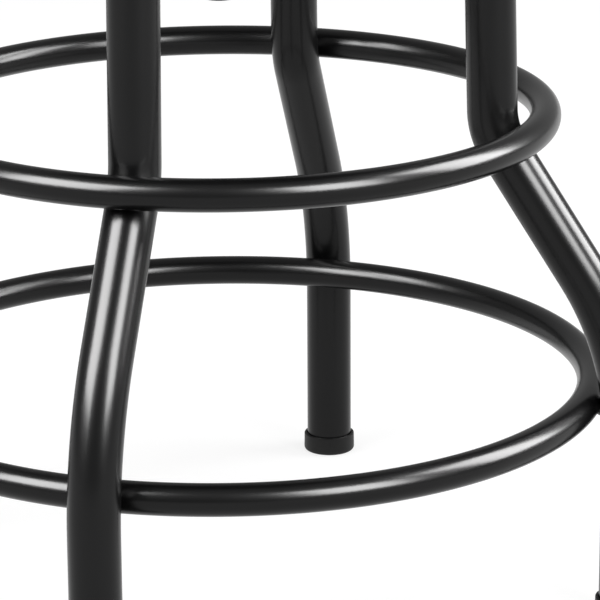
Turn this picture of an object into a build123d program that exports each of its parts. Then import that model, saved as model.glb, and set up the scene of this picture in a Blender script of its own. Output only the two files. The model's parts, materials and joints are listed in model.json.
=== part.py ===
from build123d import *
import math
import os

# Bar stool: a round padded seat on a lift screw, over four bent legs tied by two foot rings.
# Millimetres and degrees, +Z up, front towards -Y. The origin is on the floor under the seat's centre.
# The seat is at its lowest.

# Legs, one bent tube each: upright at the foot, out at the knee, upright at the waist, in at the shoulder
leg_od = 25.4
leg_wall = 1.5
# Their corners are evenly round the axis, the first between +X and +Y
leg_corners = ["rear_right", "rear_left", "front_left", "front_right"]
foot_radius = 213.5  # stool axis to the centre of a foot
knee_height = 144.0
knee_bend = 150.0
waist_radius = 142.0  # stool axis to the corner of the waist bend
waist_height = 252.5
waist_bend = 40.0
shoulder_radius = 135.0  # stool axis to the corner of the shoulder bend
shoulder_bend = 60.0
spoke_height = 505.0

# Foot rings: the upper one lies outside the legs, in the crook of the waist, the lower one inside them
ring_od = 16.0
ring_wall = 1.2
upper_ring_height = 254.5
lower_ring_height = 113.5
weld_gap = 0.05
contact_samples = 4000  # points along a leg at which its distance from a ring is measured

# The hidden bores of the tubes have flat sides and the true bore's area, which keeps them light to mesh
bore_sides = 8

# Foot caps, pushed over the ends of the legs
cap_wall = 1.8
cap_floor = 3.0
cap_height = 10.5
cap_edge = 2.0
cap_gap = 0.1

# Hub: a sleeve that the legs are welded to, with the lift nut pressed in and a landing washer on top
hub_od = 48.0
hub_wall = 5.0
hub_length = 64.0
nut_flange = 4.0
nut_gap = 0.02
washer_thickness = 3.0
washer_gap = 0.5

# Lift screw with a stop pin across its lower end
screw_od = 20.0
screw_gap = 0.05
screw_drop = 192.0  # how far the screw hangs below the spokes
screw_tip = 2.0
lift_travel = 140.0
stop_pin_od = 6.0
stop_pin_length = 34.0
stop_gap = 0.3

# Seat plate, pressed with a lip turned down all round and ribs between the bolts.
# It sits on a boss that is welded to the screw.
boss_od = 42.0
boss_height = 12.0
plate_size = 170.0
plate_thickness = 2.5
plate_lip = 10.0
plate_corner = 20.0
rib_count = 4
rib_margin = 12.0  # distance of a rib from the boss and from the plate's edge
rib_width = 16.0
rib_depth = 1.6

# Seat bolts, from below into T-nuts
bolt_spacing = 120.0
bolt_od = 6.0
bolt_hole_gap = 0.3
bolt_thread_gap = 0.05
bolt_head_across = 10.0
bolt_head_height = 4.0
bolt_tip_depth = 1.5  # how far the bolt's tip stays under the top of the board
tnut_barrel_od = 8.0
tnut_flange_od = 18.0
tnut_flange = 1.5
tnut_gap = 0.1

# Seat board and padding
board_od = 342.0
board_thickness = 12.0
foam_side = 24.0  # height of the foam's side
foam_crown = 15.0  # rise of the foam from the top of its side to its middle
crown_power = 2.5  # roundness of the crown: 2 is an ellipse, more is fuller at the edge
crown_steps = 6
side_draw = 2.0  # how far the side is drawn in between the board and the welt
side_steps = 4
cover_thickness = 1.2
cover_gap = 0.3
hem_width = 16.0  # width of the cover turned under the board
welt_od = 5.0
welt_sides = 8
dust_thickness = 0.8
dust_gap = 0.1
dust_rim = 5.0  # how far the dust cover stays inside the board's edge
dust_window_gap = 4.0

# Radii and heights that follow from these
leg_r = leg_od / 2
ring_r = ring_od / 2
hub_r = hub_od / 2
screw_r = screw_od / 2
bolt_r = bolt_od / 2
welt_r = welt_od / 2
board_r = board_od / 2
hub_bottom = spoke_height - hub_length / 2
hub_top = spoke_height + hub_length / 2
nut_top = hub_top + nut_flange
boss_bottom = nut_top + washer_thickness
plate_bottom = boss_bottom + boss_height
plate_top = plate_bottom + plate_thickness
board_top = plate_top + board_thickness
welt_height = board_top + foam_side
screw_bottom = spoke_height - screw_drop
stop_pin_height = hub_bottom - lift_travel - stop_gap - stop_pin_od / 2


def rod(radius, bottom, top):
    """Upright round bar on its own axis."""
    return Pos(Z=bottom) * Cylinder(radius, top - bottom, align=(Align.CENTER, Align.CENTER, Align.MIN))


def turned(section):
    """Piece turned about the stool's axis from a half section drawn as radius and height."""
    return revolve(Plane.XZ * section, Axis.Z)


def bore_section(radius):
    """Flat-sided section with the area of a round bore of this radius."""
    corner_radius = radius * math.sqrt(2 * math.pi / (bore_sides * math.sin(2 * math.pi / bore_sides)))
    return RegularPolygon(corner_radius, bore_sides)


def leg_line():
    """Centre line of a leg in the XZ plane, from the foot up and in to the hub."""
    corners = [
        (foot_radius, 0, cap_floor),
        (foot_radius, 0, knee_height),
        (waist_radius, 0, waist_height),
        (shoulder_radius, 0, spoke_height),
        (hub_r / 2, 0, spoke_height),
    ]
    return FilletPolyline(*corners, radius=[knee_bend, waist_bend, shoulder_bend])


def leg_angles():
    """Angle of each leg about the stool's axis, from +X."""
    return {corner: 360 * (i + 0.5) / len(leg_corners) for i, corner in enumerate(leg_corners)}


def leg(angle):
    """Bent tube whose inner end is cut to sit on the hub sleeve."""
    line = leg_line()
    foot = Plane(line @ 0, x_dir=(0, 1, 0), z_dir=line % 0)
    tube = sweep(foot * Circle(leg_r), path=line) - sweep(foot * bore_section(leg_r - leg_wall), path=line)
    return Rot(Z=angle) * (tube - rod(hub_r, hub_bottom, hub_top))


def ring_radius(height, side):
    """Radius at which a ring of this height touches the legs, from outside (side 1) or inside (side -1)."""
    line = leg_line()
    reach = leg_r + ring_r + weld_gap
    radii = []
    for i in range(contact_samples + 1):
        point = line @ (i / contact_samples)
        rise = point.Z - height
        if abs(rise) < reach:
            radii.append(point.X + side * math.sqrt(reach**2 - rise**2))
    return max(radii) if side > 0 else min(radii)


def foot_ring(height, side):
    radius = ring_radius(height, side)
    bore = turned(Pos(radius, height) * bore_section(ring_r - ring_wall))
    return Pos(Z=height) * Torus(radius, ring_r) - bore


def foot_cap(angle):
    """Cup with a bevelled lower edge over the end of a leg."""
    cup = rod(leg_r + cap_gap + cap_wall, 0, cap_height)
    cup = chamfer(cup.edges().group_by(Axis.Z)[0], cap_edge)
    cup -= rod(leg_r + cap_gap, cap_floor, cap_height)
    return Rot(Z=angle) * Pos(X=foot_radius) * cup


def sleeve(outer, inner, bottom, top):
    return rod(outer, bottom, top) - rod(inner, bottom, top)


def lift_nut():
    """Flanged nut, plain in the bore where the thread runs."""
    body = rod(hub_r - hub_wall - nut_gap, hub_bottom, hub_top) + rod(hub_r, hub_top, nut_top)
    return body - rod(screw_r + screw_gap, hub_bottom, nut_top)


def stop_pin():
    return Pos(Z=stop_pin_height) * Rot(X=90) * Cylinder(stop_pin_od / 2, stop_pin_length)


def lift_screw():
    bar = rod(screw_r, screw_bottom, plate_top)
    bar = chamfer(bar.edges().group_by(Axis.Z)[0], screw_tip)
    return bar - stop_pin()


def seat_plate():
    outline = RectangleRounded(plate_size, plate_size, plate_corner)
    inside = plate_size - 2 * plate_thickness
    recess = RectangleRounded(inside, inside, plate_corner - plate_thickness)
    lip_bottom = plate_top - plate_lip
    plate = Pos(Z=lip_bottom) * (extrude(outline, plate_lip) - extrude(recess, plate_lip - plate_thickness))
    plate -= rod(screw_r, plate_bottom, plate_top)
    for place in bolt_places():
        plate -= place * rod(bolt_r + bolt_hole_gap, plate_bottom, plate_top)
    rib_length = (plate_size - boss_od) / 2 - 2 * rib_margin
    rib = extrude(SlotOverall(rib_length, rib_width), rib_depth)
    groove = SlotOverall(rib_length - 2 * plate_thickness, rib_width - 2 * plate_thickness)
    channel = extrude(groove, rib_depth)
    for place in PolarLocations((plate_size + boss_od) / 4, rib_count):
        plate += place * Pos(Z=plate_bottom - rib_depth) * rib
        plate -= place * Pos(Z=plate_top - rib_depth) * channel
    return plate


def bolt_places():
    return GridLocations(bolt_spacing, bolt_spacing, 2, 2)


def seat_bolt():
    hexagon = RegularPolygon(bolt_head_across / 2, side_count=6, major_radius=False)
    head = Pos(Z=plate_bottom - bolt_head_height) * extrude(hexagon, bolt_head_height)
    return head + rod(bolt_r, plate_bottom, board_top - bolt_tip_depth)


def t_nut():
    nut = rod(tnut_barrel_od / 2, plate_top, board_top)
    nut += rod(tnut_flange_od / 2, board_top - tnut_flange, board_top)
    return nut - rod(bolt_r + bolt_thread_gap, plate_top, board_top)


def seat_board():
    board = rod(board_r, plate_top, board_top)
    for place in bolt_places():
        board -= place * rod(tnut_barrel_od / 2 + tnut_gap, plate_top, board_top)
        board -= place * rod(tnut_flange_od / 2 + tnut_gap, board_top - tnut_flange, board_top)
    return board


def seat_section(grow):
    """Half section of board and foam, grown outwards by this much. The side is upright beside the board
    and drawn in by a sine above it. The crown is a quarter of a superellipse. Both are in short steps."""
    edge = board_r + grow
    bottom = plate_top - grow
    rise = foam_crown + grow
    points = [(0, bottom), (edge, bottom)]
    for i in range(side_steps):
        share = i / side_steps
        points.append((edge - side_draw * math.sin(math.pi * share), board_top + foam_side * share))
    for i in range(crown_steps):
        turn = math.pi / 2 * i / crown_steps
        radius = edge * math.cos(turn) ** (2 / crown_power)
        points.append((radius, welt_height + rise * math.sin(turn) ** (2 / crown_power)))
    points.append((0, welt_height + rise))
    return make_face(Polyline(*points, close=True))


def between(bottom, top):
    """Everything between two heights, as an area to trim half sections with."""
    return Pos(board_r, (bottom + top) / 2) * Rectangle(2 * board_od, top - bottom)


def cover_section():
    return seat_section(cover_gap + cover_thickness) - seat_section(cover_gap)


def seat_foam():
    return turned(seat_section(0) & between(board_top, board_top + board_od))


def seat_top_panel():
    lower_edge = welt_height + welt_r + cover_gap
    return turned(cover_section() & between(lower_edge, lower_edge + board_od))


def seat_side_band():
    """Side of the cover, with its hem turned under the board."""
    upper_edge = welt_height - welt_r - cover_gap
    wall = cover_section() & between(upper_edge - board_od, upper_edge)
    inside = Pos(0, plate_top) * Rectangle(2 * (board_r - hem_width), board_od)
    return turned(wall - inside)


def seat_welt():
    """Piped seam between top panel and side band."""
    centre = board_r + cover_gap + welt_r
    return turned(Pos(centre, welt_height) * RegularPolygon(welt_r, welt_sides))


def dust_cover():
    """Cloth under the board, with a window for the seat plate."""
    top = plate_top - cover_gap - cover_thickness - dust_gap
    window = plate_size + 2 * dust_window_gap
    cloth = Circle(board_r - dust_rim) - RectangleRounded(window, window, plate_corner)
    return Pos(Z=top - dust_thickness) * extrude(cloth, dust_thickness)


def write(name, solids):
    """One STEP file for a node, as separate solids."""
    export_step(Compound(label=name, children=solids), f"parts/{name}.step")


def single(piece):
    return piece.solids()


def each(places, piece):
    return [(place * piece).solid() for place in places]


nodes = {f"leg_{corner}": single(leg(angle)) for corner, angle in leg_angles().items()}
nodes["upper_ring"] = single(foot_ring(upper_ring_height, 1))
nodes["lower_ring"] = single(foot_ring(lower_ring_height, -1))
nodes["foot_caps"] = [foot_cap(angle).solid() for angle in leg_angles().values()]
nodes["hub_sleeve"] = single(sleeve(hub_r, hub_r - hub_wall, hub_bottom, hub_top))
nodes["lift_nut"] = single(lift_nut())
nodes["landing_washer"] = single(sleeve(hub_r, screw_r + washer_gap, nut_top, boss_bottom))
nodes["lift_screw"] = single(lift_screw())
nodes["stop_pin"] = single(stop_pin())
nodes["screw_boss"] = single(sleeve(boss_od / 2, screw_r, boss_bottom, plate_bottom))
nodes["seat_plate"] = single(seat_plate())
nodes["seat_bolts"] = each(bolt_places(), seat_bolt())
nodes["t_nuts"] = each(bolt_places(), t_nut())
nodes["seat_board"] = single(seat_board())
nodes["seat_foam"] = single(seat_foam())
nodes["seat_top_panel"] = single(seat_top_panel())
nodes["seat_side_band"] = single(seat_side_band())
nodes["seat_welt"] = single(seat_welt())
nodes["dust_cover"] = single(dust_cover())

os.makedirs("parts", exist_ok=True)
for node_name, node_solids in nodes.items():
    write(node_name, node_solids)
print("upper ring radius", round(ring_radius(upper_ring_height, 1), 2))
print("lower ring radius", round(ring_radius(lower_ring_height, -1), 2))
print("seat height", welt_height + foam_crown + cover_gap + cover_thickness)
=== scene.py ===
import json
import math
import bpy
import bmesh
import numpy as np
from mathutils import Matrix, Vector
from mathutils.bvhtree import BVHTree

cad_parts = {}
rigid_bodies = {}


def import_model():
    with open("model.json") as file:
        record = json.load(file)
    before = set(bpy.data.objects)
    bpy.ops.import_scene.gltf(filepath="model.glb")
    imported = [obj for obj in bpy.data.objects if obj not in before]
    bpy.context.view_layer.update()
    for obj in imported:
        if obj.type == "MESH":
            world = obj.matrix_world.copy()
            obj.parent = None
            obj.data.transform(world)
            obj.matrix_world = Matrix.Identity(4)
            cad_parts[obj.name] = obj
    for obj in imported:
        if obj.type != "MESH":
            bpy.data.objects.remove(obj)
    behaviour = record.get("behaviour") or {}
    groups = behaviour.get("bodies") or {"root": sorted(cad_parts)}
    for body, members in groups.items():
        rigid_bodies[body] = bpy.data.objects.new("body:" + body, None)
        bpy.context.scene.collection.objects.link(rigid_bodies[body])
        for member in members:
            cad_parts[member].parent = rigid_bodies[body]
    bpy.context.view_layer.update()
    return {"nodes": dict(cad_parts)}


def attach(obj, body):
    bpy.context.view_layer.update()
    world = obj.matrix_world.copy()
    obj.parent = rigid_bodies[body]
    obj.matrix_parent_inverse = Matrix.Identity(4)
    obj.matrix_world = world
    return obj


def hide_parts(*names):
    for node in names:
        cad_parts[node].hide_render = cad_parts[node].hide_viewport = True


# Bar stool: padded seat on a lift screw, four bent tube legs, two foot rings.
# Lengths in the dictionaries are millimetres; meshes are metres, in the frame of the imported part.
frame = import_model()
scene = bpy.context.scene
mm = 0.001
fullTurn = 2 * math.pi
up = np.array([0.0, 0.0, 1.0])
print("frame loaded:", len(frame["nodes"]), "nodes")


# shared shapes

def unit(v):
    return v / np.linalg.norm(v, axis=-1, keepdims=True)


def angles(count):
    return np.linspace(0, fullTurn, count, endpoint=False)


def outward(t):
    return np.stack([np.cos(t), np.sin(t), 0 * t], -1)


def sideways(t):
    return np.stack([-np.sin(t), np.cos(t), 0 * t], -1)


def bell(x, width):
    return np.exp(-(x / width) ** 2)


def smoothStep(x):
    # 0 below 0 and 1 above 1, level at both ends
    x = np.clip(x, 0, 1)
    return x * x * (3 - 2 * x)


def gathers(t, count, sway, swayCount, fadeCount, fadeShift=0.0):
    # uneven waves round a seam: their spacing sways, and their height comes and goes
    return np.sin(count * t + sway * np.sin(swayCount * t)) * (0.6 + 0.4 * np.sin(fadeCount * t + fadeShift))


def arc(before, corner, after, radius, stepDeg):
    # the circle of this radius that touches both runs at a corner, as points from one run to the other
    u, v = unit(before - corner), unit(after - corner)
    turn = math.pi - math.acos(float(np.clip(u @ v, -1, 1)))
    if radius <= 0 or turn < 1e-4:
        return corner[None]
    reach = radius * math.tan(turn / 2)
    centre = corner + unit(u + v) * radius / math.cos(turn / 2)
    a, b = corner + u * reach - centre, corner + v * reach - centre
    k = np.linspace(0, 1, max(3, int(math.degrees(turn) / stepDeg) + 2))[:, None]
    return centre + (np.sin((1 - k) * turn) * a + np.sin(k * turn) * b) / math.sin(turn)


def roundedLine(corners, radii, stepDeg):
    # straight runs joined by arcs, open: the first and last corner stay sharp
    c = np.asarray(corners, float)
    bends = [arc(c[i - 1], c[i], c[i + 1], r, stepDeg) for i, r in enumerate(radii, start=1)]
    return np.vstack([c[:1], *bends, c[-1:]])


def roundedLoop(corners, radii, stepDeg=12.0):
    # the same for a closed outline, anticlockwise in radius and height
    c = np.asarray(corners, float)
    n = len(c)
    return np.vstack([arc(c[i - 1], c[i], c[(i + 1) % n], r, stepDeg) for i, r in enumerate(radii)])


def turned(profile, around, centre=(0.0, 0.0)):
    # (r, z) carried round the upright through centre: x = r cos t, y = r sin t
    t = angles(around)
    r, z = np.asarray(profile, float).T[:, :, None]
    return np.stack([r * np.cos(t) + centre[0], r * np.sin(t) + centre[1], z + 0 * t], -1)


def torus(radius, height, t, q, around):
    # a tube whose radius is q at the angle t: radius + q cos s out from the axis, q sin s down
    s = angles(around)
    r = radius + q[:, None] * np.cos(s)
    z = height - q[:, None] * np.sin(s)
    return np.stack([r * np.cos(t)[:, None], r * np.sin(t)[:, None], z], -1)


def tubeAlong(spine, normal, across, q, around):
    # a circle round each point of the spine: q cos a along normal, q sin a along across
    a = angles(around)[:, None]
    circle = np.cos(a) * normal[..., None, :] + np.sin(a) * across[..., None, :]
    return spine[..., None, :] + np.asarray(q)[..., None, None] * circle


def capped(tube, start, end):
    # both ends of a tube closed by a fan to a point
    first, last = [np.repeat(np.reshape(p, (1, 1, 3)), tube.shape[1], 1) for p in (start, end)]
    return np.concatenate([first, tube, last])


def gridQuads(rows, cols, closed):
    # one quad between each four neighbours; columns always wrap round, rows only when closed
    i = np.arange(rows if closed else rows - 1)[:, None]
    j = np.arange(cols)[None, :]
    i2, j2 = (i + 1) % rows, (j + 1) % cols
    return np.stack([i * cols + j, i * cols + j2, i2 * cols + j2, i2 * cols + j], -1).reshape(-1, 4)


def smoothFaces(mesh):
    mesh.polygons.foreach_set("use_smooth", np.ones(len(mesh.polygons), bool))


def addPiece(name, grids, look, body, replaced=(), closed=True, sharpDeg=40.0):
    # grids of points in mm become one mesh, with poles merged; a look is a material and its slot, and the
    # slot is not used
    material, slot = look
    quads, start = [], 0
    for grid in grids:
        rows, cols = grid.shape[:2]
        quads.append(gridQuads(rows, cols, closed) + start)
        start += rows * cols
    quads = np.vstack(quads)
    points = np.vstack([grid.reshape(-1, 3) for grid in grids]) * mm
    mesh = bpy.data.meshes.new(name)
    mesh.vertices.add(len(points))
    mesh.vertices.foreach_set("co", points.astype(np.float32).ravel())
    mesh.loops.add(quads.size)
    mesh.loops.foreach_set("vertex_index", quads.astype(np.int32).ravel())
    mesh.polygons.add(len(quads))
    mesh.polygons.foreach_set("loop_start", np.arange(0, quads.size, 4, dtype=np.int32))
    mesh.update(calc_edges=True)
    merged = bmesh.new()
    merged.from_mesh(mesh)
    bmesh.ops.remove_doubles(merged, verts=merged.verts, dist=1e-6)
    merged.to_mesh(mesh)
    merged.free()
    mesh.validate()
    smoothFaces(mesh)
    mesh.set_sharp_from_angle(angle=math.radians(sharpDeg))
    piece = bpy.data.objects.new(name, mesh)
    scene.collection.objects.link(piece)
    mesh.materials.append(material)
    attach(piece, body)
    if replaced:
        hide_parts(*replaced)
    return piece


# materials

def linear(hexColour):
    c = np.array([int(hexColour[i:i + 2], 16) for i in (1, 3, 5)]) / 255
    c = np.where(c <= 0.04045, c / 12.92, ((c + 0.055) / 1.055) ** 2.4)
    return (*c.tolist(), 1.0)


def addNode(tree, kind, settings=None, links=None):
    made = tree.nodes.new(kind)
    for key, value in (settings or {}).items():
        if isinstance(key, int) or key in made.inputs:
            made.inputs[key].default_value = value
        else:
            setattr(made, key, value)
    for key, source in (links or {}).items():
        tree.links.new(source, made.inputs[key])
    return made


def startMaterial(name, constants):
    material = bpy.data.materials.new(name)
    material.use_nodes = True
    tree = material.node_tree
    shader = tree.nodes["Principled BSDF"]
    for key, value in constants.items():
        shader.inputs[key].default_value = value
    place = addNode(tree, "ShaderNodeTexCoord").outputs["Object"]
    return material, tree, shader, place


def perMetre(sizeMm):
    return 1000.0 / sizeMm


def noise(tree, place, sizeMm, detail, distortion=0.0):
    settings = {"Scale": perMetre(sizeMm), "Detail": detail, "Distortion": distortion}
    return addNode(tree, "ShaderNodeTexNoise", settings, {"Vector": place}).outputs["Fac"]


def blendColours(tree, shader, factor, low, high):
    mix = addNode(tree, "ShaderNodeMix", {"data_type": "RGBA"}, {0: factor})
    mix.inputs[6].default_value = linear(low)
    mix.inputs[7].default_value = linear(high)
    tree.links.new(mix.outputs[2], shader.inputs["Base Color"])


def spreadRoughness(tree, shader, value, low, high):
    ranged = addNode(tree, "ShaderNodeMapRange", {"To Min": low, "To Max": high}, {"Value": value})
    tree.links.new(ranged.outputs["Result"], shader.inputs["Roughness"])


def addBump(tree, shader, height, depthMm, strength=1.0):
    settings = {"Distance": depthMm * mm, "Strength": strength}
    bump = addNode(tree, "ShaderNodeBump", settings, {"Height": height})
    tree.links.new(bump.outputs["Normal"], shader.inputs["Normal"])


def powderCoat():
    # baked polyester powder on steel tube: satin black, a faint orange peel in the highlights
    constants = {"IOR": 1.5, "Specular IOR Level": 0.21}
    material, tree, shader, place = startMaterial("blackPowderCoat", constants)
    cloud = noise(tree, place, sizeMm=35, detail=3.0)
    peel = noise(tree, place, sizeMm=1.4, detail=1.0)
    blendColours(tree, shader, cloud, "#080808", "#0c0c0d")
    spreadRoughness(tree, shader, cloud, 0.22, 0.28)
    addBump(tree, shader, peel, depthMm=0.005)
    return material


def capPlastic():
    # moulded black polyethylene: matte, with a spark-eroded grain under a millimetre
    constants = {"IOR": 1.51, "Specular IOR Level": 0.28}
    material, tree, shader, place = startMaterial("blackPolyethylene", constants)
    grain = noise(tree, place, sizeMm=0.7, detail=2.0)
    cloud = noise(tree, place, sizeMm=9, detail=3.0)
    blendColours(tree, shader, cloud, "#0b0b0b", "#131313")
    spreadRoughness(tree, shader, grain, 0.42, 0.6)
    addBump(tree, shader, grain, depthMm=0.03)
    return material


def oxideSteel():
    # turned steel, blacked and oiled: dark metal with faint turning marks;
    # the wave node repeats every 0.314 of its unit, which puts them 5 mm apart
    material, tree, shader, place = startMaterial("blackOxideSteel", {"Metallic": 1.0})
    settings = {"bands_direction": "Z", "Scale": perMetre(16), "Distortion": 2.0, "Detail": 2.0}
    marks = addNode(tree, "ShaderNodeTexWave", settings, {"Vector": place})
    cloud = noise(tree, place, sizeMm=6, detail=4.0)
    blendColours(tree, shader, cloud, "#232325", "#3a3a3d")
    spreadRoughness(tree, shader, cloud, 0.28, 0.46)
    addBump(tree, shader, marks.outputs["Fac"], depthMm=0.01)
    return material


def zincSteel():
    # zinc plate with clear passivation: pale grey metal, cloudy at a few millimetres
    material, tree, shader, place = startMaterial("zincPlatedSteel", {"Metallic": 1.0})
    cloud = noise(tree, place, sizeMm=3, detail=4.0)
    blendColours(tree, shader, cloud, "#a3a7aa", "#c3c5c4")
    spreadRoughness(tree, shader, cloud, 0.26, 0.42)
    addBump(tree, shader, cloud, depthMm=0.01)
    return material


def nylon():
    # moulded black nylon: waxy, slightly uneven sheen
    material, tree, shader, place = startMaterial("blackNylon", {"IOR": 1.53})
    cloud = noise(tree, place, sizeMm=5, detail=3.0)
    blendColours(tree, shader, cloud, "#121212", "#1d1d1d")
    spreadRoughness(tree, shader, cloud, 0.36, 0.5)
    addBump(tree, shader, cloud, depthMm=0.02)
    return material


def plywood():
    # rotary-cut birch face: pale straw with long flowing grain, set by the mapping's three sizes
    material, tree, shader, place = startMaterial("birchPlywood", {"IOR": 1.5})
    sizes = (perMetre(90), perMetre(7), perMetre(2))
    along = addNode(tree, "ShaderNodeMapping", {"Scale": sizes}, {"Vector": place})
    grain = noise(tree, along.outputs["Vector"], sizeMm=1000, detail=6.0, distortion=0.8)
    blendColours(tree, shader, grain, "#b98f5e", "#dcbd8e")
    spreadRoughness(tree, shader, grain, 0.5, 0.7)
    addBump(tree, shader, grain, depthMm=0.05)
    return material


def vinyl():
    # black leathercloth: embossed pebble grain, about 1.7 mm, worn a little smoother on the pebbles; the
    # creases between the pebbles carry painted shade
    constants = {"IOR": 1.5, "Sheen Weight": 0.04, "Sheen Roughness": 0.4}
    material, tree, shader, place = startMaterial("blackLeathercloth", constants)
    settings = {"feature": "SMOOTH_F1", "Scale": perMetre(1.7), "Smoothness": 0.6}
    pebble = addNode(tree, "ShaderNodeTexVoronoi", settings, {"Vector": place}).outputs["Distance"]
    crease = noise(tree, place, sizeMm=6, detail=5.0, distortion=0.6)
    both = addNode(tree, "ShaderNodeMath", {"operation": "MULTIPLY_ADD", 1: 0.55}, {0: crease, 2: pebble})
    # painted shade: the colour is darker in the creases between the pebbles and lighter on their tops
    blendColours(tree, shader, pebble, "#1b1b1c", "#0d0d0e")
    spreadRoughness(tree, shader, both.outputs["Value"], 0.38, 0.56)
    down = addNode(tree, "ShaderNodeMath", {"operation": "SUBTRACT", 0: 1.0}, {1: both.outputs["Value"]})
    addBump(tree, shader, down.outputs["Value"], depthMm=0.22, strength=0.7)
    return material


def dustCloth():
    # spun-bonded polypropylene: matte black felted fibre with a grid of bonded dots, about 2 mm apart
    constants = {"IOR": 1.49, "Sheen Weight": 0.15}
    material, tree, shader, place = startMaterial("spunbondCloth", constants)
    settings = {"feature": "F1", "Scale": perMetre(2.2), "Randomness": 0.1}
    dots = addNode(tree, "ShaderNodeTexVoronoi", settings, {"Vector": place}).outputs["Distance"]
    fibre = noise(tree, place, sizeMm=0.9, detail=4.0, distortion=2.0)
    both = addNode(tree, "ShaderNodeMath", {"operation": "MULTIPLY"}, {0: dots, 1: fibre})
    blendColours(tree, shader, fibre, "#0c0c0c", "#1f1f1f")
    spreadRoughness(tree, shader, fibre, 0.75, 0.95)
    addBump(tree, shader, both.outputs["Value"], depthMm=0.25)
    return material


def sewingThread():
    # bonded polyester thread: black, a twist every 0.8 mm
    material, tree, shader, place = startMaterial("polyesterThread", {"IOR": 1.55})
    twist = noise(tree, place, sizeMm=0.8, detail=2.0)
    blendColours(tree, shader, twist, "#1a1a1b", "#2f2f31")
    spreadRoughness(tree, shader, twist, 0.45, 0.65)
    addBump(tree, shader, twist, depthMm=0.1)
    return material


paint = (powderCoat(), "black_powder_coat")
capBlack = (capPlastic(), "cap_plastic")
blackSteel = (oxideSteel(), "black_oxide_steel")
zinc = (zincSteel(), "zinc_steel")
nylonBlack = (nylon(), "nylon")
birch = (plywood(), "plywood")
leathercloth = (vinyl(), "black_vinyl")
dustBlack = (dustCloth(), "dust_cloth")
thread = (sewingThread(), "black_vinyl")
print("materials made")


# legs: one bent tube each, coped onto the hub

leg = dict(radius=12.7, foot=(213.5, 3.1), knee=(213.5, 144.0), waist=(142.0, 252.5), shoulder=(135.0, 505.0),
           bends=(150.0, 40.0, 60.0), pastHub=2.0, copeOverlap=0.2, around=72, bendStep=2.0)
legAngles = {"rear_right": 45, "rear_left": 135, "front_left": 225, "front_right": 315}
hub = dict(radius=24.0, bore=19.0, bottom=473.0, top=537.0, edges=(0.4, 1.0, 0.6, 0.2))


def legDirections(angleDeg):
    a = math.radians(angleDeg)
    return outward(a), sideways(a)


def legTube(angleDeg):
    # circle of the tube carried along the centre line in the leg's own upright plane;
    # the last circle is slid along the spoke to lie on the hub, r = sqrt(R^2 - t^2)
    inner = (hub["radius"] - leg["pastHub"], leg["shoulder"][1])
    corners = [leg["foot"], leg["knee"], leg["waist"], leg["shoulder"], inner]
    line = roundedLine(corners, leg["bends"], leg["bendStep"])
    tangent = unit(np.gradient(line, axis=0))
    a = angles(leg["around"])
    r = line[:, :1] + leg["radius"] * tangent[:, 1:] * np.cos(a)
    z = line[:, 1:] - leg["radius"] * tangent[:, :1] * np.cos(a)
    t = leg["radius"] * np.sin(a) + 0 * r
    r[-1] = np.sqrt(hub["radius"] ** 2 - t[-1] ** 2) - leg["copeOverlap"]
    out, across = legDirections(angleDeg)
    tube = r[..., None] * out + t[..., None] * across + z[..., None] * up
    return capped(tube, tube[0].mean(0), tube[-1].mean(0))


for corner, angle in legAngles.items():
    addPiece("leg_tube_" + corner, [legTube(angle)], paint, "frame", ["leg_" + corner], closed=False)
print("legs made")


# foot rings: rolled tube, butt welded and ground, each with its seam at a leg

ring = dict(radius=8.0, around=48, steps=300, seamRise=0.22, seamWidth=1.6, seamReach=4, seamSteps=33)
upperRing = dict(radius=165.53, height=254.5, seamDeg=45.0)
lowerRing = dict(radius=191.94, height=113.5, seamDeg=225.0)


def footRing(spec):
    # torus whose tube swells by a bell curve at the ground seam, with closer steps there
    seam = math.radians(spec["seamDeg"])
    reach = ring["seamReach"]
    near = seam + np.linspace(-reach, reach, ring["seamSteps"]) * ring["seamWidth"] / spec["radius"]
    t = np.unique(np.concatenate([angles(ring["steps"]), near]))
    q = ring["radius"] + ring["seamRise"] * bell((t - seam) * spec["radius"], ring["seamWidth"])
    return torus(spec["radius"], spec["height"], t, q, ring["around"])


addPiece("foot_ring_upper", [footRing(upperRing)], paint, "frame", ["upper_ring"])
addPiece("foot_ring_lower", [footRing(lowerRing)], paint, "frame", ["lower_ring"])

# short fillet welds under each contact of ring and leg, and round each leg's end on the hub;
# offLeg and offRing are shares of the bead's radius
weld = dict(ringRadius=1.5, hubRadius=2.6, ripple=2.2, swell=0.09, reach=7.0, offLeg=0.3, offRing=0.4,
            ringSteps=60, hubSteps=220, around=12, sharpDeg=80)


def bead(line, side, radius, ripple, closed):
    # a tube along line whose radius swells once per ripple, like laid coins; open ends taper off
    ahead = np.roll(line, -1, 0) - np.roll(line, 1, 0) if closed else np.gradient(line, axis=0)
    t = unit(ahead)
    n = unit(side - (side * t).sum(-1, keepdims=True) * t)
    run = np.concatenate([[0], np.cumsum(np.linalg.norm(np.diff(line, axis=0), axis=1))])
    q = radius * (1 + weld["swell"] * np.cos(fullTurn * run / ripple))
    if not closed:
        q = q * np.sqrt(np.clip(np.minimum(run, run[-1] - run) / radius, 0, 1))
    return tubeAlong(line, n, np.cross(t, n), q, weld["around"])


def ringWeld(angleDeg, spec, side):
    # the bead lies in the crease under the ring, against the leg at r = c + side sqrt(R^2 - t^2)
    w = weld
    t = np.linspace(-w["reach"], w["reach"], w["ringSteps"])
    contact = spec["radius"] - side * (ring["radius"] + leg["radius"])
    wall = contact + side * np.sqrt(leg["radius"] ** 2 - t ** 2) + side * w["offLeg"] * w["ringRadius"]
    centre = np.sqrt(spec["radius"] ** 2 - t ** 2)
    touch = ring["radius"] + w["offRing"] * w["ringRadius"]
    drop = np.sqrt(np.clip(touch ** 2 - (centre - wall) ** 2, 0, None))
    out, across = legDirections(angleDeg)
    line = wall[:, None] * out + t[:, None] * across + (spec["height"] - drop)[:, None] * up
    return bead(line, -up, w["ringRadius"], w["ripple"], False)


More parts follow.
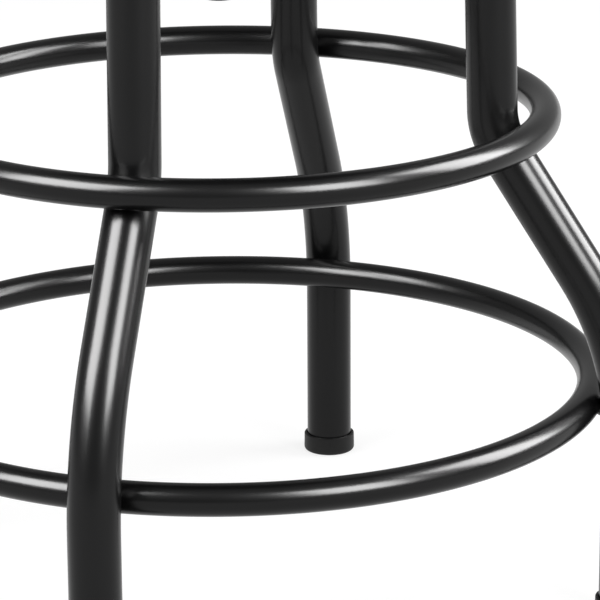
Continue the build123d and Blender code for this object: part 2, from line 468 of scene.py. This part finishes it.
def hubWeld(angleDeg):
    # saddle where the spoke meets the hub: t = R sin a, z = R cos a, r = sqrt(H^2 - t^2)
    out, across = legDirections(angleDeg)
    a = angles(weld["hubSteps"])
    side = np.sin(a)[:, None] * across + np.cos(a)[:, None] * up
    t = leg["radius"] * np.sin(a)
    r = np.sqrt(hub["radius"] ** 2 - t ** 2)
    line = r[:, None] * out + leg["shoulder"][1] * up + leg["radius"] * side
    return bead(line, side, weld["hubRadius"], weld["ripple"], True)


beads = [ringWeld(angle, upperRing, 1) for angle in legAngles.values()]
beads += [ringWeld(angle, lowerRing, -1) for angle in legAngles.values()]
addPiece("ring_welds", beads, paint, "frame", closed=False, sharpDeg=weld["sharpDeg"])
saddles = [hubWeld(angle) for angle in legAngles.values()]
addPiece("hub_welds", saddles, paint, "frame", sharpDeg=weld["sharpDeg"])
print("rings and welds made")


# foot caps: moulded cups with a rounded lower edge and a shallow dish underneath

footCap = dict(radius=14.6, rim=14.45, bore=12.85, height=10.5, floor=3.0, dish=6.0, dishSlope=0.9,
               dishDepth=0.8, edges=(0.5, 0.5, 2.0, 0.7, 0.3, 0.6), edgeStep=9.0, around=72)


def footCapProfile():
    f = footCap
    corners = [(0, f["dishDepth"]), (f["dish"], f["dishDepth"]), (f["dish"] + f["dishSlope"], 0),
               (f["radius"], 0), (f["rim"], f["height"]), (f["bore"], f["height"]),
               (f["bore"], f["floor"]), (0, f["floor"])]
    return roundedLine(corners, f["edges"], f["edgeStep"])


capPlaces = [leg["foot"][0] * legDirections(angle)[0] for angle in legAngles.values()]
caps = [turned(footCapProfile(), footCap["around"], place) for place in capPlaces]
addPiece("foot_caps_moulded", caps, capBlack, "frame", ["foot_caps"], closed=False)
print("foot caps made")


# hub: sleeve, flanged nut and landing washer

nut = dict(bore=10.1, countersink=12.0, countersinkTop=475.0, radius=18.9, bottom=473.4, flange=23.8,
           flangeBottom=537.2, top=541.0, edges=(0.4, 0.3, 0.8, 0.1, 0.4, 0.7, 0.2))
washer = dict(radius=23.6, bore=10.5, bottom=541.05, top=543.95, edges=(0.4, 0.8, 0.8, 0.4))


def sleeveCorners(spec):
    # half section of a sleeve, as corners of radius and height
    return [(spec["bore"], spec["bottom"]), (spec["radius"], spec["bottom"]),
            (spec["radius"], spec["top"]), (spec["bore"], spec["top"])]


def addTurned(name, corners, edges, look, body, replaced, around=96):
    addPiece(name, [turned(roundedLoop(corners, edges), around)], look, body, [replaced])


nutCorners = [(nut["bore"], nut["countersinkTop"]), (nut["countersink"], nut["bottom"]),
              (nut["radius"], nut["bottom"]), (nut["radius"], nut["flangeBottom"]),
              (nut["flange"], nut["flangeBottom"]), (nut["flange"], nut["top"]), (nut["bore"], nut["top"])]
addTurned("hub_tube", sleeveCorners(hub), hub["edges"], paint, "frame", "hub_sleeve")
addTurned("lift_nut_flanged", nutCorners, nut["edges"], blackSteel, "frame", "lift_nut")
addTurned("landing_washer_nylon", sleeveCorners(washer), washer["edges"], nylonBlack, "washer",
          "landing_washer")
print("hub made")


# lift screw: trapezoid thread, right hand, 6 mm lead; rootHalf and flank are shares of the lead

screw = dict(crest=10.0, root=7.6, lead=6.0, rootHalf=0.36, flank=0.2, bottom=313.0, top=556.5, tip=3.0,
             tipRadius=6.6, rowsPerTurn=16, around=56)


def liftScrew():
    # r(t, z): the phase z / lead - t / turn runs up the helix; a trapezoid of it blends root and crest,
    # and the lower end is rounded off by a quarter ellipse
    s = screw
    rows = int((s["top"] - s["bottom"]) / s["lead"] * s["rowsPerTurn"])
    z = np.linspace(s["bottom"], s["top"], rows)[:, None]
    t = angles(s["around"])[None]
    phase = (z / s["lead"] - t / fullTurn) % 1.0
    flank = smoothStep((s["rootHalf"] - np.abs(phase - 0.5)) / s["flank"])
    helix = s["root"] + (s["crest"] - s["root"]) * flank
    rise = np.clip((z - s["bottom"]) / s["tip"], 0, 1)
    end = s["tipRadius"] + (s["crest"] - s["tipRadius"]) * np.sqrt(1 - (1 - rise) ** 2)
    r = np.minimum(helix, end)
    body = np.stack([r * np.cos(t), r * np.sin(t), z + 0 * t], -1)
    return capped(body, up * s["bottom"], up * s["top"])


addPiece("lift_screw_threaded", [liftScrew()], blackSteel, "seat", ["lift_screw"], closed=False)

# the pin's bottom and top are its two ends, measured from the screw's axis
stopPin = dict(height=329.7, radius=3.0, bore=1.5, bottom=-17.0, top=17.0, edges=(0.2, 0.8, 0.8, 0.2),
               around=40)


def rollPin():
    # hollow pin with rounded ends, turned about Y instead of Z
    outline = roundedLoop(sleeveCorners(stopPin), stopPin["edges"])
    x, y, z = np.moveaxis(turned(outline, stopPin["around"]), -1, 0)
    return np.stack([y, z, x + stopPin["height"]], -1)


addPiece("stop_pin_rolled", [rollPin()], zinc, "seat", ["stop_pin"])
print("lift screw made")


# seat plate: pressed square with its lip turned down, welded to a boss on the screw

boss = dict(radius=21.0, bore=10.0, bottom=544.05, top=556.0, edges=(0.3, 1.4, 0.1, 0.1), weldHeight=555.6,
            weldRadius=2.4, weldRipple=2.4, weldSteps=300)
addTurned("screw_boss_turned", sleeveCorners(boss), boss["edges"], paint, "seat", "screw_boss")
bossSide = outward(angles(boss["weldSteps"]))
bossLine = bossSide * boss["radius"] + up * boss["weldHeight"]
bossWeld = bead(bossLine, bossSide, boss["weldRadius"], boss["weldRipple"], True)
addPiece("boss_weld", [bossWeld], paint, "seat", sharpDeg=weld["sharpDeg"])

plate = dict(half=85.0, corner=20.0, leastCorner=0.5, thickness=2.5, lip=10.0, top=558.4, bend=4.0, toe=0.6,
             hole=10.0, around=400, rows=44, ribDepth=1.6, ribHalf=8.0, ribReach=53.0, ribRun=12.0,
             ribSlope=2.6)


def squareRadius(t, half, corner):
    # distance from the centre to the edge of a square with rounded corners, along the direction t
    c, s = np.abs(np.cos(t)), np.abs(np.sin(t))
    c, s = np.maximum(c, s), np.minimum(c, s)
    q = half - corner
    onSide = half / c
    onCorner = q * (c + s) + np.sqrt(np.clip(corner ** 2 - q ** 2 * (c - s) ** 2, 0, None))
    return np.where(onSide * s <= q, onSide, onCorner)


def seatPlate():
    # rows go out along the underside, down inside the lip, up outside it and back in over the top;
    # each row of the edge is (inset, height), and the flat part blends from the round hole to the square
    p = plate
    t = angles(p["around"])
    wall, top, toe = p["thickness"], p["top"], p["toe"]
    low, foot, flat = top - wall, top - p["lip"], 2 * p["bend"]
    lipIn = roundedLine([(flat, low), (wall, low), (wall, foot + toe)], [p["bend"] - wall], stepDeg=12)
    lipOut = roundedLine([(0, foot + toe), (0, top), (flat, top)], [p["bend"]], stepDeg=9)
    lipToe = roundedLine([lipIn[-1], (wall, foot), (0, foot), lipOut[0]], [toe, toe], stepDeg=20)
    inset, z = np.vstack([lipIn[:-1], lipToe, lipOut[1:]]).T[:, :, None]
    edge = squareRadius(t, p["half"] - inset, np.maximum(p["corner"] - inset, p["leastCorner"]))
    share = np.linspace(0, 1, p["rows"], endpoint=False)[:, None]
    under = p["hole"] + share * (edge[0] - p["hole"])
    over = (p["hole"] + share * (edge[-1] - p["hole"]))[::-1]
    r = np.concatenate([under, edge, over])
    h = np.concatenate([0 * under + low, 0 * edge + z, 0 * over + top])
    x, y = r * np.cos(t), r * np.sin(t)
    # four ribs, slot shaped: pressed down by how near a point is to the rib's spine, but not in the lip
    far, off = np.maximum(np.abs(x), np.abs(y)), np.minimum(np.abs(x), np.abs(y))
    fromSpine = np.hypot(np.clip(np.abs(far - p["ribReach"]) - p["ribRun"], 0, None), off)
    rib = smoothStep((p["ribHalf"] - fromSpine) / p["ribSlope"])
    rib[len(under):len(under) + len(edge)] = 0
    return np.stack([x, y, h - p["ribDepth"] * rib], -1)


addPiece("seat_plate_pressed", [seatPlate()], paint, "seat", ["seat_plate"])

# the bolt's rows are (height over the head's lower face, largest radius), from its middle up to the plate
bolt = dict(spacing=60.0, across=10.0, head=4.0, under=555.9, around=72, sharpDeg=30,
            hexagonRows=[(0.4, 0.0), (0.4, 2.6), (0.0, 3.2), (0.0, 4.5), (0.35, 5.0), (0.8, 5.9), (2.4, 5.9),
                         (2.7, 5.6)],
            flangeRows=[(3.0, 6.2), (3.7, 6.6), (4.0, 6.6), (4.0, 0.0)])


def boltHead(x, y):
    # hexagon r = (across / 2) / cos(t from the flat's middle), bevelled by its rows, on a thin round flange
    b = bolt
    t = angles(b["around"])
    hexagon = b["across"] / 2 / np.cos((t + math.pi / 6) % (math.pi / 3) - math.pi / 6)
    rise, r = np.array(b["hexagonRows"] + b["flangeRows"]).T[:, :, None] + 0 * t
    count = len(b["hexagonRows"])
    r[:count] = np.minimum(r[:count], hexagon)
    return np.stack([r * np.cos(t) + x, r * np.sin(t) + y, b["under"] - b["head"] + rise], -1)


boltPlaces = [(sx * bolt["spacing"], sy * bolt["spacing"]) for sx in (-1, 1) for sy in (-1, 1)]
boltHeads = [boltHead(*place) for place in boltPlaces]
addPiece("seat_bolt_heads", boltHeads, zinc, "seat", ["seat_bolts"], closed=False, sharpDeg=bolt["sharpDeg"])
print("seat plate and bolts made")


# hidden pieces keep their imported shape
for name, look in (("seat_board", birch), ("t_nuts", zinc)):
    frame["nodes"][name].data.materials.clear()
    frame["nodes"][name].data.materials.append(look[0])


# seat pad: foam under a stretched round panel, blown up as cloth from a slightly lower crown

pad = dict(radius=171.1, bottom=571.0, seam=594.6, crown=11.4, power=2.4, around=200, crownRows=40,
           sideRows=6, floorRows=20)
blow = dict(voxel=5.0, heldAbove=0.5, pressure=4.0, slack=-0.012, stiffness=40.0, bending=1.5, quality=6,
            frames=20, cap=5.0)
padGathers = dict(count=84, sway=2.0, swayCount=7, fadeCount=11, fadeShift=1.0)
padPucker = dict(height=0.35, inset=5.0, width=7.0)


def padProfile():
    # upright side, then a quarter superellipse: r = R cos(a)^(2/p), z = seam + crown sin(a)^(2/p)
    p = pad
    a = np.linspace(0, math.pi / 2, p["crownRows"])
    crownRadius = p["radius"] * np.cos(a) ** (2 / p["power"])
    crownRadius[-1] = 0.0
    crown = np.stack([crownRadius, p["seam"] + p["crown"] * np.sin(a) ** (2 / p["power"])], -1)
    sideHeight = np.linspace(p["bottom"], p["seam"], p["sideRows"])
    side = np.stack([np.full(p["sideRows"], p["radius"]), sideHeight], -1)
    floorRadius = np.linspace(0, p["radius"], p["floorRows"])
    floor = np.stack([floorRadius, np.full(p["floorRows"], p["bottom"])], -1)
    return np.vstack([floor, side[1:], crown[1:]])


def vertexPlaces(mesh):
    places = np.empty(len(mesh.vertices) * 3)
    mesh.vertices.foreach_get("co", places)
    return places.reshape(-1, 3)


def inflate(piece):
    # cloth under pressure, with the side and bottom held; how far a point moved is capped
    piece.data.remesh_voxel_size = blow["voxel"] * mm
    bpy.context.view_layer.objects.active = piece
    bpy.ops.object.voxel_remesh()
    start = vertexPlaces(piece.data)
    held = piece.vertex_groups.new(name="held")
    fixed = np.nonzero(start[:, 2] < (pad["seam"] + blow["heldAbove"]) * mm)[0]
    held.add(fixed.tolist(), 1.0, "REPLACE")
    cloth = piece.modifiers.new("cloth", "CLOTH")
    settings = cloth.settings
    settings.vertex_group_mass = "held"
    settings.effector_weights.gravity = 0.0
    settings.use_pressure = True
    settings.uniform_pressure_force = blow["pressure"]
    settings.shrink_min = blow["slack"]
    settings.tension_stiffness = blow["stiffness"]
    settings.compression_stiffness = blow["stiffness"]
    settings.bending_stiffness = blow["bending"]
    settings.quality = blow["quality"]
    for step in range(1, blow["frames"] + 1):
        scene.frame_set(step)
    blown = piece.evaluated_get(bpy.context.evaluated_depsgraph_get())
    moved = vertexPlaces(blown.data)
    piece.modifiers.remove(cloth)
    scene.frame_set(1)
    shift = moved - start
    far = np.linalg.norm(shift, axis=1, keepdims=True)
    shift *= np.minimum(1, blow["cap"] * mm / np.maximum(far, 1e-9))
    print("seat pad rose by at most", round(float(far.max()) * 1000, 2), "mm")
    return start + shift


def pullSeam(points):
    # small gathers beside the welt, fading out towards the middle
    r = np.hypot(points[:, 0], points[:, 1]) / mm
    wave = gathers(np.arctan2(points[:, 1], points[:, 0]), **padGathers)
    near = bell(pad["radius"] - r - padPucker["inset"], padPucker["width"])
    near = near * (points[:, 2] > (pad["seam"] + blow["heldAbove"]) * mm)
    points[:, 2] += padPucker["height"] * mm * wave * near
    return points


padPiece = addPiece("seat_pad", [turned(padProfile(), pad["around"])], leathercloth, "seat",
                    ["seat_foam", "seat_top_panel"], closed=False, sharpDeg=180)
shaped = pullSeam(inflate(padPiece))
padPiece.data.vertices.foreach_set("co", shaped.astype(np.float32).ravel())
smoothFaces(padPiece.data)
padPiece.data.update()
smooth = padPiece.modifiers.new("smooth", "SUBSURF")
smooth.levels = smooth.render_levels = 1
print("seat pad made")


# side band: the cover's upright strip, turned under the board, with one upright seam at the back

band = dict(radius=172.5, inner=171.3, bottom=557.0, under=558.2, top=593.8, hem=155.0, edge=3.0, around=720,
            sideBottom=566.0, sideRows=24, hemRows=8, drawIn=2.0, drawLow=570.5, drawHigh=594.5,
            innerDraw=0.2)
bandGathers = dict(count=66, sway=1.7, swayCount=5, fadeCount=9)
# upper and lower are (height, spread) of its gathers; the hem lies less than hemRise over the bottom
bandPucker = dict(height=0.16, upper=(592.0, 6.0), lower=(557.0, 7.0), hemRise=0.5, hemFade=10.0)
bandSeam = dict(angleDeg=90.0, depth=0.9, width=0.9, ridge=0.35, ridgeOffset=3.5, ridgeWidth=2.2)


def bandRadius(z):
    # the side is drawn in by a sine between the board and the welt
    share = np.clip((z - band["drawLow"]) / (band["drawHigh"] - band["drawLow"]), 0, 1)
    return band["radius"] - band["drawIn"] * np.sin(math.pi * share)


def sideBand():
    # closed profile: hem, rounded lower edge, drawn-in side, top edge, back down inside;
    # the outside has soft gathers along both seams and a groove at the back seam
    b, p, s = band, bandPucker, bandSeam
    z = np.linspace(b["sideBottom"], b["top"], b["sideRows"])
    side = np.stack([bandRadius(z), z], -1)
    corners = [(b["hem"], b["bottom"]), (b["radius"], b["bottom"]), side[0]]
    lower = roundedLine(corners, [b["edge"]], stepDeg=8)
    hemRadius = np.linspace(b["hem"], lower[1, 0], b["hemRows"])
    hem = np.stack([hemRadius, np.full(b["hemRows"], b["bottom"])], -1)
    innerTop = b["inner"] - b["drawIn"] * b["innerDraw"]
    inside = np.array([(innerTop, b["top"]), (b["inner"], b["under"]), (b["hem"], b["under"])])
    profile = np.vstack([hem, lower[2:-1], side, inside])
    points = turned(profile, b["around"])
    t = angles(b["around"])
    x, h = profile.T[:, :, None]
    outer = np.ones(len(profile))[:, None]
    outer[-len(inside):] = 0
    onHem = h < b["bottom"] + p["hemRise"]
    wave = p["height"] * gathers(t, **bandGathers)
    near = sum(bell(h - height, spread) for height, spread in (p["upper"], p["lower"]))
    across = (t - math.radians(s["angleDeg"])) * b["radius"]
    ridges = s["ridge"] * bell(np.abs(across) - s["ridgeOffset"], s["ridgeWidth"])
    groove = s["depth"] * bell(across, s["width"]) - ridges
    push = outer * (wave * near - groove * ~onHem)
    points = points + push[..., None] * outward(t)
    points[..., 2] -= outer * wave * onHem * np.clip((x - b["hem"]) / p["hemFade"], 0, 1)
    return points


addPiece("seat_band", [sideBand()], leathercloth, "seat", ["seat_side_band"], sharpDeg=70)

welt = dict(radius=173.6, height=594.5, thick=2.5, around=18, steps=900, stitch=5.0, pinch=0.035, waver=0.05,
            joinDeg=97.0, joinRise=0.45, joinHalf=7.0)


def weltCord():
    # torus whose section shrinks a little at each stitch, thickens where its ends overlap, and wavers
    w = welt
    t = angles(w["steps"])
    run = t * w["radius"]
    q = w["thick"] * (1 - w["pinch"] * np.cos(fullTurn * run / w["stitch"]) ** 2)
    q = q + w["joinRise"] * np.exp(-((t - math.radians(w["joinDeg"])) * w["radius"] / w["joinHalf"]) ** 4)
    q = q + w["waver"] * np.sin(37 * t + 2 * np.sin(3 * t))
    return torus(w["radius"], w["height"], t, q, w["around"])


addPiece("seat_welt_cord", [weltCord()], leathercloth, "seat", ["seat_welt"], sharpDeg=180)
print("side band and welt made")


# topstitching on both sides of the welt

stitch = dict(length=3.6, gap=1.3, thick=0.45, arch=0.25, lift=0.1, bandHeight=586.5, padInset=7.0,
              dropFrom=700.0, around=6, rows=5)


def stitchAngles(radius):
    return angles(int(fullTurn * radius / (stitch["length"] + stitch["gap"])))


def stitchRow(centres, along, normal):
    # each stitch is a small spindle: radius q sqrt(1 - u^4) along its length, arched a little off the cloth
    u = np.linspace(-1, 1, stitch["rows"])
    q = stitch["thick"] * np.sqrt(np.clip(1 - u ** 4, 0, 1))
    along, normal = along[:, None], normal[:, None]
    spine = centres[:, None] + along * (u * stitch["length"] / 2)[:, None]
    spine = spine + normal * (stitch["arch"] * (1 - u ** 2))[:, None]
    return tubeAlong(spine, normal, np.cross(along, normal), q, stitch["around"])


def bandStitches():
    t = stitchAngles(band["radius"])
    r = bandRadius(stitch["bandHeight"]) + stitch["lift"]
    return stitchRow(outward(t) * r + up * stitch["bandHeight"], sideways(t), outward(t))


def padStitches():
    # dropped onto the finished pad from above
    r = pad["radius"] - stitch["padInset"]
    t = stitchAngles(r)
    bpy.context.view_layer.update()
    tree = BVHTree.FromObject(padPiece, bpy.context.evaluated_depsgraph_get())
    starts = (outward(t) * r + up * stitch["dropFrom"]) * mm
    hits = [tree.ray_cast(Vector(start), Vector((0, 0, -1)))[:2] for start in starts]
    place = np.array([hit[0] for hit in hits]) / mm
    normal = unit(np.array([hit[1] for hit in hits]))
    along = sideways(t)
    normal = unit(normal - (normal * along).sum(-1, keepdims=True) * along)
    return stitchRow(place + stitch["lift"] * normal, along, normal)


addPiece("seat_stitches", [*bandStitches(), *padStitches()], thread, "seat", closed=False, sharpDeg=180)
print("stitching made")


# dust cover: cloth stapled under the board, with a window for the plate

dust = dict(radius=166.0, window=89.0, corner=20.0, top=556.9, thickness=0.5, sag=1.6, scallop=0.5,
            around=360, rows=26, staples=30, sharpDeg=60)


def dustCover():
    # from the window's rounded square to the outer circle; it sags by a sine between its edges, unevenly,
    # and its rim scallops and hangs slightly between the staples
    d = dust
    t = angles(d["around"])
    share = np.linspace(0, 1, d["rows"])[:, None]
    inner = squareRadius(t, d["window"], d["corner"])
    between = 1 - np.cos(d["staples"] * t)
    r = inner + share * (d["radius"] - inner) - d["scallop"] * share ** 8 * between
    uneven = 1 + 0.2 * np.sin(5 * t + 1) + 0.15 * np.sin(8 * t)
    hang = d["sag"] * np.sin(math.pi * share) ** 1.3 * uneven + share ** 4 * (1 - share) * between
    over = np.stack([r * np.cos(t), r * np.sin(t), d["top"] - hang], -1)
    return np.concatenate([over - up * d["thickness"], over[::-1]])


dustPiece = addPiece("dust_cover_cloth", [dustCover()], dustBlack, "seat", ["dust_cover"],
                     sharpDeg=dust["sharpDeg"])

staple = dict(width=9.0, leg=2.0, bend=0.9, wire=0.55, flatten=1.3, radius=160.0, height=555.9, around=8,
              skew=0.05, skewStep=3.7, sharpDeg=60)


def staples():
    # flattened wire crowns, each a rounded bar with its ends bent up into the board, a little askew
    s = staple
    half = s["width"] / 2
    corners = [(-half, s["leg"]), (-half, 0.0), (half, 0.0), (half, s["leg"])]
    line = roundedLine(corners, [s["bend"], s["bend"]], stepDeg=20)
    tangent = unit(np.gradient(line, axis=0))
    grids = []
    for i, angle in enumerate(angles(dust["staples"])):
        along = sideways(angle + s["skew"] * math.sin(s["skewStep"] * i))
        spine = outward(angle) * s["radius"] + line[:, :1] * along + (line[:, 1:] + s["height"]) * up
        normal = tangent[:, 1:] * along - tangent[:, :1] * up
        wire = tubeAlong(spine, normal, np.cross(up, along) * s["flatten"], s["wire"], s["around"])
        grids.append(capped(wire, spine[0], spine[-1]))
    return grids


addPiece("cover_staples", staples(), zinc, "seat", closed=False, sharpDeg=staple["sharpDeg"])
print("dust cover and staples made")


# stage: pale floor, soft studio light and the camera

def facing(place, direction):
    # placed in metres, looking along the direction, with its own Y upwards
    return Matrix.Translation(place) @ direction.to_track_quat("-Z", "Y").to_matrix().to_4x4()


view = dict(place=(-824.3, -1533.4, 680.5), aim=(34.82, -19.76, 153.31), lens=210.26, rollDeg=-0.30)
camera = bpy.data.objects.new("camera", bpy.data.cameras.new("camera"))
scene.collection.objects.link(camera)
camera.data.sensor_width = 36.0
camera.data.lens = view["lens"]
camera.data.clip_end = 100.0
forward = Vector(view["aim"]) - Vector(view["place"])
roll = Matrix.Rotation(math.radians(view["rollDeg"]), 4, "Z")
camera.matrix_world = facing(Vector(view["place"]) * mm, forward) @ roll
scene.camera = camera

# the floor's radius is in metres
studio = dict(worldGrey=0.4, floorGlow=0.75, floorColour="#a0a0a0", floorRadius=40.0, floorSides=128)


def seenDirectly(tree):
    # 1 for rays from the camera and for mirror and glass rays, 0 for light that falls on the object
    path = addNode(tree, "ShaderNodeLightPath").outputs
    larger = {"operation": "MAXIMUM"}
    first = addNode(tree, "ShaderNodeMath", larger, {0: path["Is Camera Ray"], 1: path["Is Glossy Ray"]})
    links = {0: first.outputs["Value"], 1: path["Is Transmission Ray"]}
    return addNode(tree, "ShaderNodeMath", larger, links).outputs["Value"]


def floorMaterial():
    # white paper: part of its brightness is its own, so that it stays white and still takes the shadow;
    # it can't be seen from below
    material = bpy.data.materials.new("studioPaper")
    material.use_nodes = True
    tree = material.node_tree
    tree.nodes.clear()
    diffuse = addNode(tree, "ShaderNodeBsdfDiffuse", {"Color": linear(studio["floorColour"])})
    settings = {"operation": "MULTIPLY", 1: studio["floorGlow"]}
    glow = addNode(tree, "ShaderNodeMath", settings, {0: seenDirectly(tree)})
    light = addNode(tree, "ShaderNodeEmission", {}, {"Strength": glow.outputs["Value"]})
    both = addNode(tree, "ShaderNodeAddShader", {}, {0: diffuse.outputs[0], 1: light.outputs[0]})
    clear = addNode(tree, "ShaderNodeBsdfTransparent")
    back = addNode(tree, "ShaderNodeNewGeometry").outputs["Backfacing"]
    sided = addNode(tree, "ShaderNodeMixShader", {}, {0: back, 1: both.outputs[0], 2: clear.outputs[0]})
    addNode(tree, "ShaderNodeOutputMaterial", {}, {"Surface": sided.outputs[0]})
    return material


def addFloor():
    # a disc: its centre is point 0, and each face goes to two neighbours on the rim
    count = studio["floorSides"]
    rim = outward(angles(count)) * studio["floorRadius"]
    faces = [(0, i + 1, (i + 1) % count + 1) for i in range(count)]
    mesh = bpy.data.meshes.new("floor")
    mesh.from_pydata([(0, 0, 0), *rim.tolist()], [], faces)
    mesh.materials.append(floorMaterial())
    floor = bpy.data.objects.new("floor", mesh)
    scene.collection.objects.link(floor)


addFloor()
world = bpy.data.worlds.new("studio")
scene.world = world
world.use_nodes = True
grey = studio["worldGrey"]
world.node_tree.nodes["Background"].inputs["Color"].default_value = (grey, grey, grey, 1.0)

# three softboxes, in degrees as seen from the stool, azimuth anticlockwise from +X; streak is a brightness
softboxes = [dict(name="left", azimuth=182.5, elevation=38.0, wide=36.0, high=34.5, streak=36.0),
             dict(name="front", azimuth=281.5, elevation=32.5, wide=25.0, high=32.0, streak=40.0),
             dict(name="right", azimuth=338.0, elevation=32.0, wide=30.0, high=39.0, streak=31.0)]
# lengths in metres; plain is the brightness of the boxes themselves
lamp = dict(distance=3.0, ahead=0.03, aim=(0.0, 0.0, 0.2), plain=3.4)
coatedTubes = bpy.data.collections.new("coatedTubes")
for piece in scene.collection.objects:
    if piece.name.startswith(("leg_tube", "foot_ring", "ring_welds", "hub_")):
        coatedTubes.objects.link(piece)


def addSoftbox(box):
    # a plain box that lights every piece, and just in front of it a streak that only the coated tubes mirror
    a, e = math.radians(box["azimuth"]), math.radians(box["elevation"])
    toward = Vector((math.cos(a) * math.cos(e), math.sin(a) * math.cos(e), math.sin(e)))
    wide, high = [2 * lamp["distance"] * math.tan(math.radians(box[side] / 2)) for side in ("wide", "high")]
    for part, glow, away in (("plain", lamp["plain"], lamp["distance"]),
                             ("streak", box["streak"], lamp["distance"] - lamp["ahead"])):
        data = bpy.data.lights.new("softbox_" + box["name"] + "_" + part, "AREA")
        data.shape = "RECTANGLE"
        data.size = wide
        data.size_y = high
        data.energy = glow * math.pi * wide * high
        light = bpy.data.objects.new(data.name, data)
        scene.collection.objects.link(light)
        light.matrix_world = facing(Vector(lamp["aim"]) + toward * away, -toward)
        light.visible_camera = False
        if part == "streak":
            light.visible_diffuse = False
            light.light_linking.receiver_collection = coatedTubes


for box in softboxes:
    addSoftbox(box)
scene.view_settings.view_transform = "Standard"
print("stage made")

bpy.context.view_layer.update()
